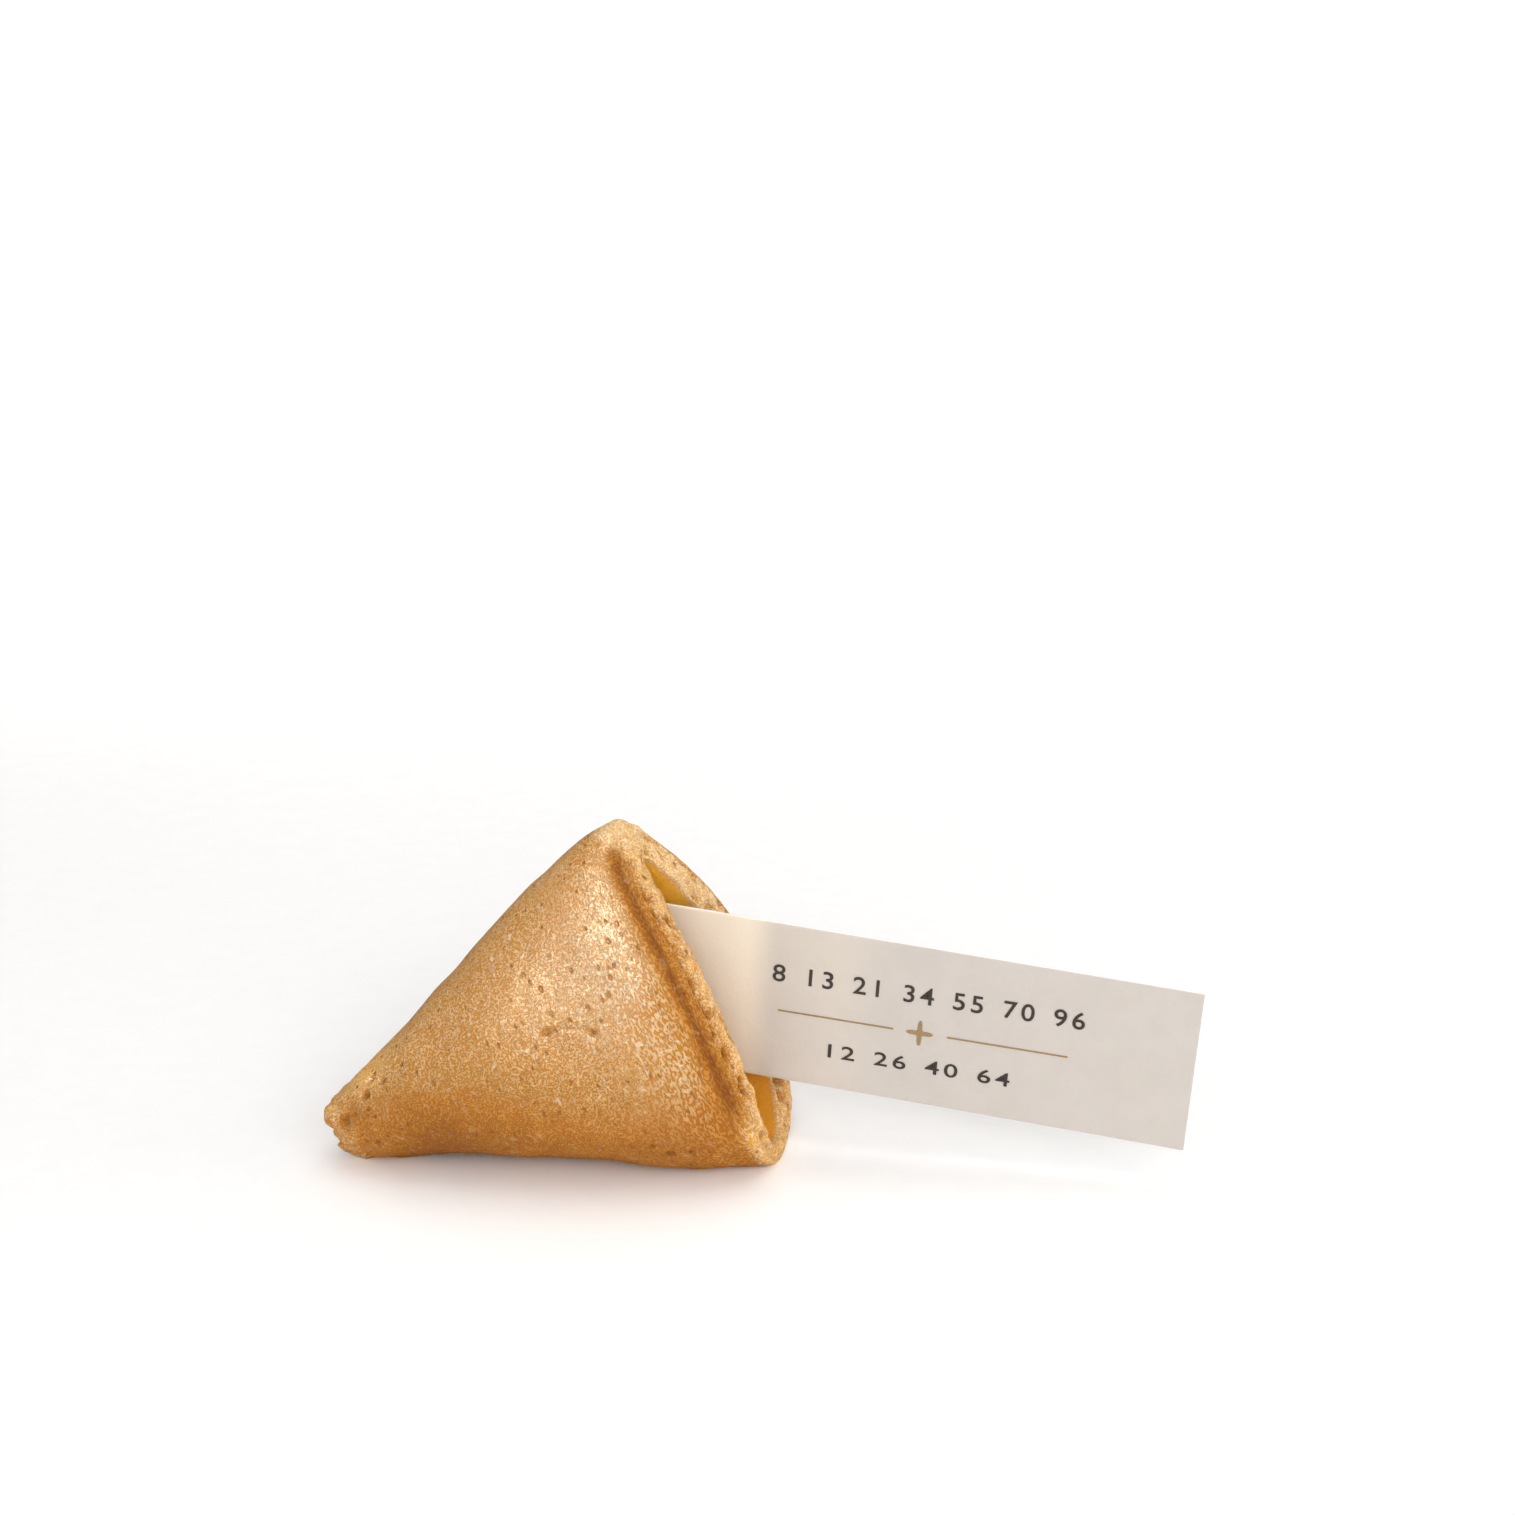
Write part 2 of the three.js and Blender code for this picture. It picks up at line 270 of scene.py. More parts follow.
def pits(points, spacing, radius, share, seed, stretch=(1, 1, 1)):
    """Round dents, 0 to 1: each cube of space holds one centre at a random place with a random radius
    up to the given one, in that share of the cubes. The depth is 1 - (distance / radius)^2."""
    random = np.random.default_rng(seed)
    places = random.random((LATTICE, LATTICE, LATTICE, 3))
    sizes = radius / spacing * random.uniform(0.45, 1.0, (LATTICE, LATTICE, LATTICE))
    sizes[random.random(sizes.shape) > share] = 1e-6
    q = points * np.array(stretch) / spacing
    cell = np.floor(q).astype(int)
    deepest = np.zeros(points.shape[:-1])
    for step in itertools.product((-1, 0, 1), repeat=3):
        at = (cell + step) % LATTICE
        index = (at[..., 0], at[..., 1], at[..., 2])
        away = np.linalg.norm(cell + step + places[index] - q, axis=-1) / sizes[index]
        deepest = np.maximum(deepest, 1 - away**2)
    return deepest


# ======================================================================== mesh making


def ring_numbers(rings):
    """Vertex numbers of the rings. The first and the last ring are flattened to a line: their far
    half uses the points of the near half."""
    numbers = np.arange(rings * COLUMNS).reshape(rings, COLUMNS)
    half = COLUMNS // 2
    for line in (0, -1):
        numbers[line, half + 1 :] = numbers[line, 1:half][::-1]
    return numbers


def grid_faces(numbers):
    """Two triangles for each cell of a grid of vertex numbers whose last column meets its first."""
    a = numbers[:-1]
    b = np.roll(numbers, -1, axis=1)[:-1]
    c = np.roll(numbers, -1, axis=1)[1:]
    d = numbers[1:]
    both = [np.stack([a, d, c], -1).reshape(-1, 3), np.stack([a, c, b], -1).reshape(-1, 3)]
    faces = np.concatenate(both)
    whole = (faces[:, 0] != faces[:, 1]) & (faces[:, 1] != faces[:, 2]) & (faces[:, 0] != faces[:, 2])
    return faces[whole]


def vertex_normals(points, faces):
    """Sum of the cross products of the faces round each vertex, at length 1."""
    corner = points[faces]
    across = np.cross(corner[:, 1] - corner[:, 0], corner[:, 2] - corner[:, 0])
    total = np.zeros_like(points)
    for k in range(3):
        for axis in range(3):
            total[:, axis] += np.bincount(faces[:, k], across[:, axis], len(points))
    return total / np.maximum(np.linalg.norm(total, axis=1, keepdims=True), 1e-12)


def make_object(name, points, faces, material, attributes=None):
    """A smooth-shaded mesh object from points in millimetres. attributes are numbers for each point."""
    mesh = bpy.data.meshes.new(name)
    mesh.from_pydata((points * MM).tolist(), [], faces.tolist())
    mesh.polygons.foreach_set("use_smooth", np.ones(len(faces), bool))
    for key, values in (attributes or {}).items():
        layer = mesh.attributes.new(key, "FLOAT", "POINT")
        layer.data.foreach_set("value", values.astype(np.float32))
    mesh.materials.append(material)
    mesh.update()
    made = bpy.data.objects.new(name, mesh)
    bpy.context.scene.collection.objects.link(made)
    return made


# ======================================================================== cookie shape


def section(u, angle, side=0.0, ridge=0.0, seam=0.0, fuller=0.0, width=1.0, height=1.0):
    """Points of the teardrop sections. A section runs from the seam curve up to the ridge curve, drawn
    in by side, ridge and seam: rise = 0.5 + height * (width * (-cos(angle) / 2) + (1 - width) * even),
    lateral = -(half width - side) * sin(angle) * (1 + fullness * cos(angle)) * width."""
    foot = np.stack(np.broadcast_arrays(*[cubic(u, c) + 0 * angle for c in SEAM]), -1)
    crest = np.stack(np.broadcast_arrays(*[cubic(u, c) + 0 * angle for c in RIDGE]), -1)
    up = crest - foot
    tall = np.linalg.norm(up, axis=-1, keepdims=True)
    up = up / tall
    foot = foot + up * np.asarray(seam)[..., None]
    crest = crest - up * np.asarray(ridge)[..., None]
    even = np.minimum(angle, 2 * np.pi - angle) / np.pi - 0.5
    rise = 0.5 + height * (-0.5 * width * np.cos(angle) + (1 - width) * even) + 0 * u
    teardrop = np.sin(angle) * (1 + (cubic(u, LOW_FULLNESS) + fuller) * np.cos(angle))
    lateral = -(cubic(u, HALF_WIDTH) - side) * teardrop * width
    points = foot + (crest - foot) * rise[..., None]
    points[..., 0] += cubic(u, BOW) * 4 * rise * (1 - rise) + lateral * cubic(u, SLANT)
    points[..., 1] += lateral
    lobes = np.abs(np.sin(np.pi * rise * tall[..., 0] / SCALLOP_LENGTH + SCALLOP_PHASE))
    bites = (lobes - SCALLOP_MIDDLE) * smooth(SCALLOP_FROM, 1, u) * smooth(0, 4, rise * tall[..., 0])
    points += TIP_DIRECTION * (SCALLOP_DEPTH * bites)[..., None]
    return points, lateral


def even_angles():
    """Angles whose points lie evenly along a section by the mouth, the same on both sides."""
    half = COLUMNS // 2
    fine = np.linspace(0, np.pi, 2000)
    outline, _ = section(np.full_like(fine, 0.12), fine)
    run = np.concatenate([[0], np.cumsum(np.linalg.norm(np.diff(outline, axis=0), axis=1))])
    near = np.interp(np.linspace(0, run[-1], half + 1), run, fine)
    return np.concatenate([near, 2 * np.pi - near[half - 1 : 0 : -1]])[None, :]


def tip_rows(angle):
    """The end face: the section at the tip, closed towards the line where its two leaves meet."""
    v = 1 - np.arange(TIP_ROWS)[:, None] / TIP_ROWS
    points, lateral = section(
        1 + 0 * v, angle, **TIP_ROUND, width=1 - v, height=1 - (1 - TIP_LINE_HEIGHT) * v
    )
    return points, lateral, v


def outside_rows(angle):
    """The outside, rounded off at the tip by 1 - sqrt(1 - s^2). The far half and the apex of the
    broken edge are drawn a little forward."""
    t = np.linspace(1, 0, OUTSIDE_ROWS)[:, None]
    u = 0.55 * t + 0.45 * t * t
    s = np.clip((u - TIP_START) / (1 - TIP_START), 0, 1)
    round_off = 1 - np.sqrt(1 - 0.999 * s * s)
    points, lateral = section(u, angle, **{key: value * round_off for key, value in TIP_ROUND.items()})
    rise = 0.5 - 0.5 * np.cos(angle)
    far = bump(rise, FLARE_FAR[0]) + bump(rise, FLARE_FAR[1])
    share = np.maximum(1 - u / FLARE_END, 0) ** 2
    points[..., 0] += share * np.where(angle < np.pi, bump(rise, FLARE_NEAR), far)
    points[..., 2] += share * bump(rise, FLARE_UP)
    return points, lateral, u


def hollow_rows(angle):
    """The hollow: the same sections, drawn in by the wall's thickness. They narrow to a line as
    sqrt(1 - (u / end)^6), and at the mouth the wall's inner edge stands forward or back."""
    t = np.linspace(0, 1, HOLLOW_ROWS)[:, None]
    u = HOLLOW_END * (0.35 * t + 0.65 * t**2)
    width = np.sqrt(np.maximum(1 - (u / HOLLOW_END) ** 6, 0))
    depth = np.minimum(u / MOUTH_BLEND, 1)
    points, _ = section(
        u,
        angle,
        side=WALL_SIDE,
        ridge=WALL_RIDGE_AT_MOUTH + (WALL_RIDGE - WALL_RIDGE_AT_MOUTH) * depth,
        seam=WALL_SEAM,
        fuller=MOUTH_NARROWING * (1 - depth),
        width=width,
        height=HOLLOW_END_HEIGHT + (1 - HOLLOW_END_HEIGHT) * width,
    )
    rise = 0.5 - 0.5 * np.cos(angle)
    near = cubic(rise, [0, *RIM_NEAR_SIDE, RIM_AT_APEX])
    far = cubic(rise, [0, *RIM_FAR_SIDE, RIM_AT_APEX])
    points[..., 0] += np.where(angle < np.pi, near, far) * np.maximum(1 - u / RIM_BLEND, 0) ** 2
    return points, u


def lip_radius(angle):
    """Radius of the broken edge's round: its own value on each side, and one near the apex."""
    side = np.where(angle < np.pi, LIP_RADIUS_NEAR, LIP_RADIUS_FAR)
    blend = smooth(-0.75, -0.98, np.cos(angle)) + smooth(0.93, 1, np.cos(angle))
    return side + (LIP_RADIUS_APEX - side) * blend


def rolled_edge(outside, rim, radius):
    """The broken edge rolled to a quarter round. A point at distance d from the edge, less than the
    radius, moves to an arc at the angle t = 45 deg * (1 - d / radius) on the outside and
    45 deg * (1 + d / radius) on the rim. There it lies radius * (1 - sin t) behind the edge and
    radius * (1 - cos t) into the wall. Returns both grids and the distances."""
    edge = outside[-1]
    forward = edge - outside[-1 - EDGE_SETBACK]
    forward = forward / np.linalg.norm(forward, axis=-1, keepdims=True)
    inward = rim[-1] - edge
    inward = inward / np.linalg.norm(inward, axis=-1, keepdims=True)
    behind = np.linalg.norm(outside - edge, axis=-1)
    into = np.linalg.norm(rim - edge, axis=-1)
    near = np.minimum(behind / radius, 1)
    turn = np.pi / 4 * (1 - near)
    ahead = radius * (near - 1 + np.sin(turn))
    deep = radius * (1 - np.cos(turn))
    outside = outside + forward * ahead[..., None] + inward * deep[..., None]
    near = np.minimum(into / radius, 1)
    turn = np.pi / 4 * (1 + near)
    ahead = radius * (np.sin(turn) - 1)
    deep = radius * (1 - np.cos(turn) - near)
    rim = rim + forward * ahead[..., None] + inward * deep[..., None]
    return outside, rim, behind, into


# ======================================================================== cookie relief and browning


def swell(points):
    """The broad unevenness of the baked walls."""
    return waves(points, 0.22, 13) + waves(points, 0.07, 5, 7)


def crumbly(points):
    """Coarser bumps at the tip."""
    return waves(points, 0.28, 3.2)


def lip_relief(distance, angle, ragged):
    """Bead, groove and shallow hollow along the broken edge, by the distance from it, negative on the
    rim. They die out at the mouth's foot and at the apex, where the groove also nears the edge.
    Returns the relief, and the share of the edge's darkening, which reaches less far up."""
    up = np.cos(angle)
    clear_of_foot = 1 - smooth(0.3, 0.7, up)
    moved = distance + ragged + GROOVE_SHIFT * (1 - smooth(-0.78, -0.5, up))
    shape = bump(distance, LIP_BEAD) + bump(moved, LIP_GROOVE) + bump(moved, LIP_HOLLOW)
    return clear_of_foot * smooth(-1, -0.92, up) * shape, clear_of_foot * smooth(-1, -0.85, up)


def lip_browning(distance):
    """The groove, the bead and, less so, the crust behind them are baked darker, and the groove also
    holds painted shade.
    """
    groove = bump(distance, (0.42, 0.9, 0.65))
    bead = bump(distance, (0.28, -0.4, 0.7))
    crust = bump(distance, (0.12, 1.5, 1.9))
    return groove + bead + crust


def placed_dents(points):
    """Dents at the listed places: depth * (1 - (distance / radius)^2), the deepest one counts."""
    deepest = np.zeros(points.shape[:-1])
    for x, y, z, radius, depth in DENTS:
        away = ((points - np.array([x, y, z])) ** 2).sum(axis=-1) / radius**2
        deepest = np.maximum(deepest, depth * (1 - away))
    return deepest


def wrinkle(points):
    """A hair-fine crease along an arc on the near side, 1 on its line."""
    across = np.hypot(points[..., 0] - WRINKLE_MIDDLE[0], points[..., 2] - WRINKLE_MIDDLE[1])
    on_line = np.exp(-(((across - WRINKLE_RADIUS + 0.25 * noise(points, 1.5, 47)) / 0.16) ** 2))
    return on_line * smooth(*WRINKLE_FROM, points[..., 2]) * (points[..., 1] < 0)


def painted_highlight_patches(points):
    """Paler patches on the near side, a painted highlight. Each adds strength * exp(-d^2 / squared
    width), where d is the distance from its middle in x and z."""
    x, z = points[..., 0], points[..., 2]
    return sum(
        strength * np.exp(-((x - middle_x) ** 2 + (z - middle_z) ** 2) / spread)
        for strength, middle_x, middle_z, spread in HIGHLIGHT_PATCHES
    )


def crust_grain(points):
    """Fine relief of the baked surface: a net of creases, blisters and pits."""
    net = creases(points, 0.7, 21)
    blisters = noise(points, 2.4, 31)
    holes = pits(points, 3.1, 0.36, 0.6, 41) + 0.8 * pits(points, 1.3, 0.24, 0.7, 51)
    return net, blisters, np.minimum(holes, 1)


def tip_zone(points, lateral, v):
    """The end face bulges and is rough. The groove where the two leaves meet and the pits are painted
    darker, as painted shade.
    """
    net, blisters, holes = crust_grain(points)
    bulge = TIP_BULGE * np.sin(np.pi * v)
    blotches = 0.15 * noise(points, 3.5, 71)
    grain = 0.05 * (net - 0.7) + 0.06 * blisters - 0.2 * holes + 0.16 * noise(points, 1.1, 61)
    return {
        "points": points,
        "relief": swell(points) + crumbly(points) + bulge + bump(lateral, SEAM_GROOVE) + grain,
        # painted shade in the pits and in the groove where the leaves meet
        "browning_and_painted_light": TIP_BROWN + blotches + 0.3 * holes + bump(lateral, (0.35, 0, 0.6)),
    }


def outside_zone(points, lateral, u, angle, behind, facing_up):
    """The crust. It is darker where it leans over the table and behind the tip, as painted shade, and
    painted shade also darkens its pits, dents, fine crease and seam. The groove by the broken edge is
    baked darker, with painted shade in it. It is paler at the mouth's foot, and paler on top of the tip
    and at the apex, as painted highlight.
    behind is the distance from the broken edge, and facing_up the upward share of the normal."""
    x, z = points[..., 0], points[..., 2]
    up = np.cos(angle)
    foot = smooth(0.4, 0.7, up)
    end = smooth(0.85, 1, u)
    seam_share = smooth(0.12, 0.45, u) * smooth(0, 0.5, up)
    from_tip = (1 - u) * TIP_RUN + 0.4 * noise(points, 2.0, 83)

    net, blisters, holes = crust_grain(points)
    dents = placed_dents(points)
    crease = wrinkle(points)
    lip, tinted = lip_relief(behind, angle, 0.12 * noise(points, 2.6, 81))
    seam = seam_share * (bump(lateral, SEAM_GROOVE) + bump(np.abs(lateral), SEAM_BEAD))
    rough_end = (crumbly(points) + 0.2 * noise(points, 1.1, 61)) * end
    pitted = 0.2 * holes * (0.4 + 0.5 * smooth(0.6, 1.6, behind))
    grain = 0.025 * (net - 0.7) + 0.04 * blisters - pitted - dents - WRINKLE_DEPTH * crease

    steep = 1 - smooth(0.3, 0.8, facing_up)
    blotches = 0.05 * noise(points, 9, 91) + 0.03 * noise(points, 2.2, 92)
    # painted shade: darker on steep faces low down, where the crust leans over the table
    painted_shade_low = 0.13 * steep + 0.34 * smooth(15, 3.5, z) * steep
    # painted shade: darker behind the tip, low on steep faces, and in the shallow ring behind it
    painted_shade_behind_tip = bump(x, (0.18, -28, 4)) * smooth(13, 5, z) * steep + bump(from_tip, (0.06, 2.2, 0.7))
    # paler on top of the tip where it faces up, as painted highlight, and paler at the very end
    pale_end_and_tip_highlight = (
        bump(x, (0.25, -35.5, 2.5)) * smooth(0.2, 0.7, facing_up)
        + 0.12 * smooth(-32, -35, x) + 0.25 * smooth(1.5, 0.9, from_tip)
    )
    pale_foot = 0.7 * foot * smooth(1.8, 0.4, behind)
    # painted highlight: paler at the apex
    painted_apex_highlight = 0.35 * smooth(30.6, 31.6, z)
    # painted shade in the pits, the dents and the fine crease
    painted_shade_in_dents = 0.36 * holes + 1.2 * dents + 0.14 * crease
    return {
        "points": points,
        "relief": swell(points) + rough_end + lip + seam + grain + bump(from_tip, TIP_NECK),
        "browning_and_painted_light": (
            OUTSIDE_BROWN + blotches + painted_shade_low + painted_shade_behind_tip + painted_shade_in_dents
            # painted shade along the seam underneath
            + lip_browning(behind) * tinted + bump(lateral, (0.3, 0, 0.6)) * seam_share
            - pale_end_and_tip_highlight - pale_foot - painted_apex_highlight
        ),
        "crumb": np.maximum(
            # by the edge near the apex the crust takes the crumb colour, as painted highlight
            0.3 * foot * smooth(0.8, 0.1, behind), smooth(*APEX_HIGHLIGHT_HEIGHTS, z) * smooth(3.5, 1.5, behind)
        ),
        "beside_lip": smooth(12, 3, behind),
        # painted highlight patches on the near side
        "pale": painted_highlight_patches(points) * smooth(1.8, 3.6, behind) * (angle < np.pi),
    }


def rim_zone(points, v, angle, into, radius, wall):
    """The broken face of the wall. Past the rolled edge it is pale crumb with open cells, which swells
    a little between its two edges. The front of the bead is browned, and so is the ragged inner edge.
    The open cells and a broken crease beside the bead are painted darker, as painted shade in them.
    Higher up the crumb is painted whiter and reaches further, most at the apex, as painted highlight,
    and the far side is painted paler higher up, as painted reflection. into is the distance from the
    outer edge."""
    z = points[..., 2]
    up = np.cos(angle)
    near = angle < np.pi
    far = angle > np.pi
    foot = smooth(0.4, 0.7, up)
    high = smooth(29, 30.8, z)
    inner_edge = smooth(0.86, 1, v)
    # higher up the crumb colour reaches further, as painted highlight towards the apex
    crumb = smooth(1.3, 2.2, (into + 0.2 * noise(points, 1.2, 103)) / radius + 1.2 * foot + 1.5 * high)
    stretch = (1, 1, 0.6)
    cells = np.minimum(
        pits(points, 1.25, 0.8, 0.9, 111, stretch) + 0.8 * pits(points, 0.8, 0.5, 0.7, 121, stretch), 1
    )
    cells = cells * smooth(0.4, 1.0, into / radius - 0.9 * far) * (1 - inner_edge)

    lip, tinted = lip_relief(-into, angle, 0)
    broken = smooth(-0.1, 0.35, noise(points, 2.6, 105))
    crease = bump(-into + 0.3 * noise(points, 1.6, 102), LIP_CREASE) * broken
    middle = np.clip((into - radius) / np.maximum(wall - radius, 0.1), 0, 1)
    full = RIM_SWELL * np.sin(np.pi * middle) + waves(points, 0.14, 1.8) * smooth(0, 0.8, into)
    crumbs = crumb * (1 - inner_edge) * (0.2 * noise(points, 1.5, 101) + 0.09 * noise(points, 0.6, 104))

    blotches = 0.06 * noise(points, 3, 131)
    crust_end = 0.2 * smooth(0.9, 0, into) * near * (1 - foot)
    fading = 1 - smooth(-0.5, -1, up) * smooth(0, 0.9, into)
    bead = lip_browning(-into) * tinted * (1 - crumb) * fading
    # painted shade in the broken crease
    shaded_crease = bump(into, (0.25, 1.05, 0.2)) * tinted * broken
    # paler crumb and foot, and painted light: paler higher up on the far side (painted reflection) and
    # at the apex (painted highlight)
    pale = 0.1 * crumb + 0.08 * foot + 0.15 * far * smooth(10, 18, z) + 0.2 * smooth(29, 31.5, z)
    # painted light: the crumb is whiter higher up
    painted_light_on_crumb = np.where(near, 0.3 + 0.7 * high, 0.4 + 0.6 * smooth(10, 22, z))
    return {
        "points": points,
        "relief": full + (1 - v) * swell(points) + lip + crease + crumbs - 0.6 * cells,
        "browning_and_painted_light": (
            RIM_BROWN + blotches + crust_end + bead + shaded_crease
            # painted shade in the open cells
            + 0.65 * cells + 0.2 * inner_edge - pale
        ),
        "crumb": np.maximum(crumb * painted_light_on_crumb, smooth(*APEX_HIGHLIGHT_HEIGHTS, z)) * (1 - cells),
        "jag": smooth(0.6, 1, v),
    }


def hollow_zone(points, u):
    """The lining: smooth, with faint folds and a few pits. It is painted darker low down and far
    inside, as painted shade in the hollow.
    """
    folds = 0.04 * (creases(points, 1.4, 141) - 0.7)
    pitted = 0.12 * pits(points, 2.2, 0.3, 0.35, 151)
    # painted shade in the hollow: darker low down, and further below far inside
    low = 0.65 * smooth(22, 6, points[..., 2])
    return {
        "points": points,
        "relief": waves(points, 0.15, 7) * smooth(0, 0.1, u) + folds - pitted,
        "browning_and_painted_light": 0.08 * noise(points, 6, 161) + 0.5 * smooth(0.3, 0.8, u) + low,
        "crumb": smooth(0.03, 0, u),
        "inner": smooth(0, 0.02, u),
        "jag": smooth(0.05, 0, u),
    }


def stacked(zones, key):
    """One number for each point of all the rings. It is 0 in a zone that doesn't give it."""
    return np.concatenate([
        np.broadcast_to(zone.get(key, 0.0), zone["points"].shape[:2]) for zone in zones
    ])


def cookie_shell(material):
    """The closed shell. The rings of points run from the line on the end face, over the outside, the
    broken rim and the hollow, to the line where the hollow closes. Each point is then moved along its
    normal by the relief of its zone, and the inner edge of the rim also forward by its jags."""
    angle = even_angles()
    tip, tip_side, v_tip = tip_rows(angle)
    outside, outside_side, u_outside = outside_rows(angle)
    hollow, u_hollow = hollow_rows(angle)
    v_rim = (np.arange(1, RIM_ROWS + 1) / (RIM_ROWS + 1))[:, None]
    rim = outside[-1][None] + (hollow[0] - outside[-1])[None] * v_rim[..., None]
    wall = np.linalg.norm(hollow[0] - outside[-1], axis=-1)
    radius = lip_radius(angle)
    outside, rim, behind, into = rolled_edge(outside, rim, radius)

    rings = np.concatenate([tip, outside, rim, hollow])
    numbers = ring_numbers(len(rings))
    faces = grid_faces(numbers)
    normals = vertex_normals(rings.reshape(-1, 3), faces).reshape(rings.shape)
    facing_up = normals[TIP_ROWS : TIP_ROWS + OUTSIDE_ROWS, :, 2]
    zones = [
        tip_zone(tip, tip_side, v_tip),
        outside_zone(outside, outside_side, u_outside, angle, behind, facing_up),
        rim_zone(rim, v_rim, angle, into, radius, wall),
        hollow_zone(hollow, u_hollow),
    ]
    teeth = 0.16 * noise(rings, 2.4, 171) + 0.1 * noise(rings, 0.7, 172)
    moved = rings + normals * stacked(zones, "relief")[..., None]
    moved[..., 0] += stacked(zones, "jag") * teeth
    moved[..., 2] = np.maximum(moved[..., 2], 0)

    used = np.unique(numbers)
    renumber = np.zeros(numbers.size, int)
    renumber[used] = np.arange(len(used))
    attributes = {"browning_and_painted_light": np.clip(stacked(zones, "browning_and_painted_light"), 0, 1).ravel()[used]}
    for key in ("crumb", "inner", "beside_lip", "pale"):
        attributes[key] = stacked(zones, key).ravel()[used]
    points = moved.reshape(-1, 3)[used]
    return make_object("cookie_shell", points, renumber[faces], material, attributes)


# ======================================================================== slip


def slip_axes():
    """The slip's length axis towards its free end, its up axis and its face axis towards -Y."""
    along = np.array([math.cos(SLIP_TURN), -math.sin(SLIP_TURN), 0.0])
    level = np.array([math.sin(SLIP_TURN), math.cos(SLIP_TURN), 0.0])
    upright = np.array([0.0, 0.0, 1.0])
    length_axis = along * math.cos(SLIP_SLOPE) - upright * math.sin(SLIP_SLOPE)
    raised = along * math.sin(SLIP_SLOPE) + upright * math.cos(SLIP_SLOPE)
    up_axis = raised * math.cos(SLIP_LEAN) + level * math.sin(SLIP_LEAN)
    return length_axis, up_axis, np.cross(length_axis, up_axis)


def on_slip(back, up, out):
    """Points in the model's frame from distances: back from the free end, up, and out of the face."""
    length_axis, up_axis, face_axis = slip_axes()
    back, up, out = np.broadcast_arrays(back, up, out)
    back = back + SLIP_SKEW * (up - SLIP_HEIGHT / 2)
    foot = SLIP_CORNER - length_axis * back[..., None]
    return foot + up_axis * up[..., None] + face_axis * out[..., None]


def stops(length, count, edge):
    """Even steps over the length, with one narrow step at each end."""
    return np.concatenate([[0], np.linspace(edge, length - edge, count), [length]])


def paper_slip(material):
    """Two sheets of points, front and back, one thickness apart, with chamfered borders that are
    joined by the cut edge. The faces have a faint uneven swell. The number inside is the share of the
    length from the free end, which sets the painted bounce light on the front; it is held at a half on
    the back, which is one colour throughout."""
    back, up = np.meshgrid(
        stops(SLIP_LENGTH, SLIP_STEPS[0], SLIP_CHAMFER),
        stops(SLIP_HEIGHT, SLIP_STEPS[1], SLIP_CHAMFER),
        indexing="ij",
    )
    border = (back == 0) | (back == SLIP_LENGTH) | (up == 0) | (up == SLIP_HEIGHT)
    flat = np.stack([back, up, 0 * back], -1)
    faint = SLIP_SWELL * noise(flat, 2.5, 201)
    sunk = np.where(border, SLIP_CHAMFER, SLIP_SWELL - faint)
    front = on_slip(back, up, -sunk)
    rear = on_slip(back, up, sunk - SLIP_THICKNESS)
    rows, columns = back.shape
    number = np.arange(rows * columns).reshape(rows, columns)
    a, b, c, d = number[:-1, :-1], number[1:, :-1], number[1:, 1:], number[:-1, 1:]
    quads = np.stack([a, d, c, b], -1).reshape(-1, 4)
    ring = np.concatenate([number[:-1, 0], number[-1, :-1], number[:0:-1, -1], number[0, :0:-1]])
    after = np.roll(ring, -1)
    shift = rows * columns
    sides = np.stack([ring, after, after + shift, ring + shift], -1)
    faces = np.concatenate([quads, quads[:, ::-1] + shift, sides])
    points = np.concatenate([front.reshape(-1, 3), rear.reshape(-1, 3)])
    inside = back.ravel() / SLIP_LENGTH
    attributes = {
        "cut": np.tile(border.ravel(), 2),
        "inside": np.concatenate([inside, np.minimum(inside, 0.5)]),
    }
    return make_object("paper_slip", points, faces, material, attributes)


def printed_mesh(name, flat_points, faces, material):
    """A thin plate on the slip's face: the flat outline at two heights, joined round its border.
    flat_points are distances back from the free end and up from the lower edge."""
    count = len(flat_points)
    back = flat_points[:, 0]
    up = flat_points[:, 1] + PRINT_TILT * (PRINT_MIDDLE - back)
    top = on_slip(back, up, np.full(count, PRINT_HEIGHT))
    base = on_slip(back, up, np.full(count, -PRINT_SUNK))
    edges = np.concatenate([faces[:, [0, 1]], faces[:, [1, 2]], faces[:, [2, 0]]])
    pair = {tuple(e) for e in edges.tolist()}
    border = np.array([e for e in edges.tolist() if (e[1], e[0]) not in pair])
    side = np.concatenate([
        np.stack([border[:, 1], border[:, 0], border[:, 0] + count], -1),
        np.stack([border[:, 1], border[:, 0] + count, border[:, 1] + count], -1),
    ])
    whole = np.concatenate([faces, faces[:, ::-1] + count, side])
    made = make_object(name, np.concatenate([top, base]), whole, material)
    made.data.polygons.foreach_set("use_smooth", np.zeros(len(whole), bool))
    return made


